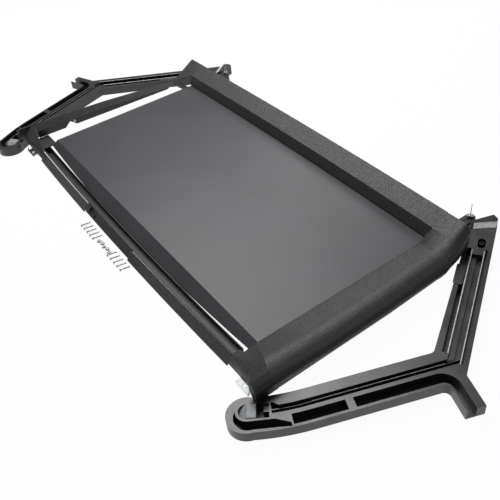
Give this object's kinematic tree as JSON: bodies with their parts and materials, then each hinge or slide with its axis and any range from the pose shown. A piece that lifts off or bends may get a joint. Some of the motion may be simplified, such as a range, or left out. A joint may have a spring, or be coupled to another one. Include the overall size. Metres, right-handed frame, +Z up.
{
  "type": "dog bed with frame",
  "caption": "Low rectangular pet bed tray with a smooth deck and raised textured rails, on a frame of angled swing arms that lie flat under its ends.",
  "frame": {"origin": "on the floor, at the middle of the whole part's length and depth", "axes": "+X along the bed towards the covered end, +Y towards the tall rear rail, +Z up"},
  "size_m": [1.6712, 0.7623, 0.083],
  "materials": {
    "textured_steel": "grained black powder coat",
    "black_steel": "smooth black coat",
    "deck": "smooth satin dark grey",
    "arm_plastic": "moulded black, light sheen on the flanges",
    "dark_plastic": "moulded black",
    "lock_plastic": "moulded light grey",
    "dark_steel": "blackened steel",
    "zinc": "bright zinc plate"
  },
  "bodies": {
    "tray": {"corner_front_left": "textured_steel", "corner_front_right": "textured_steel", "corner_gusset_left": "black_steel", "corner_rear_left": "textured_steel", "corner_rear_right": "textured_steel", "deck_crossbars": "black_steel", "deck_panel": "deck", "end_beam_right": "black_steel", "end_block_left": "dark_plastic", "end_block_right": "dark_plastic", "end_cover_right": "textured_steel", "end_link_left": "black_steel", "end_rail_left": "textured_steel", "front_gutter": "black_steel", "front_rail_left": "textured_steel", "front_rail_right": "textured_steel", "handle_catch": "dark_plastic", "handle_recess": "dark_plastic", "loose_nuts": "zinc", "loose_screws": "zinc", "loose_washers": "zinc", "lug_left": "zinc", "lug_right": "zinc", "pin_clip_left": "zinc", "pin_clip_right": "zinc", "pivot_bracket_left": "black_steel", "pivot_bracket_right": "black_steel", "pivot_pin_left": "zinc", "pivot_pin_right": "zinc", "rail_screw": "zinc", "rear_rail": "textured_steel", "rear_skirt": "black_steel", "seam_strap_front": "black_steel", "seam_strap_rear": "black_steel"},
    "arm_left": {"arm_end_cap_left": "arm_plastic", "arm_eye_ring_left": "dark_steel", "arm_guide_strip_left": "arm_plastic", "arm_shell_left": "arm_plastic", "arm_stop_block_left": "arm_plastic", "pivot_bush_left": "dark_steel"},
    "arm_right": {"arm_end_cap_right": "arm_plastic", "arm_eye_ring_right": "dark_steel", "arm_guide_strip_right": "arm_plastic", "arm_shell_right": "arm_plastic", "arm_stop_block_right": "arm_plastic", "pivot_bush_right": "dark_steel"},
    "lock_left": {"lock_block_left": "lock_plastic"},
    "lock_right": {"lock_block_right": "lock_plastic"}
  },
  "joints": [
    {"name": "arm_left_swing", "type": "hinge", "parent": "tray", "child": "arm_left", "pos_m": [-0.49, 0.336, 0], "axis": [0, 0, -1], "range_deg": [0, 75]},
    {"name": "arm_right_swing", "type": "hinge", "parent": "tray", "child": "arm_right", "pos_m": [0.49, 0.336, 0], "axis": [0, 0, 1], "range_deg": [0, 75]},
    {"name": "lock_left_slide", "type": "slide", "parent": "arm_left", "child": "lock_left", "axis": [-0.5736, 0.8191, 0], "range_m": [0, 0.012]},
    {"name": "lock_right_slide", "type": "slide", "parent": "arm_right", "child": "lock_right", "axis": [0.5736, 0.8191, 0], "range_m": [0, 0.012]}
  ]
}
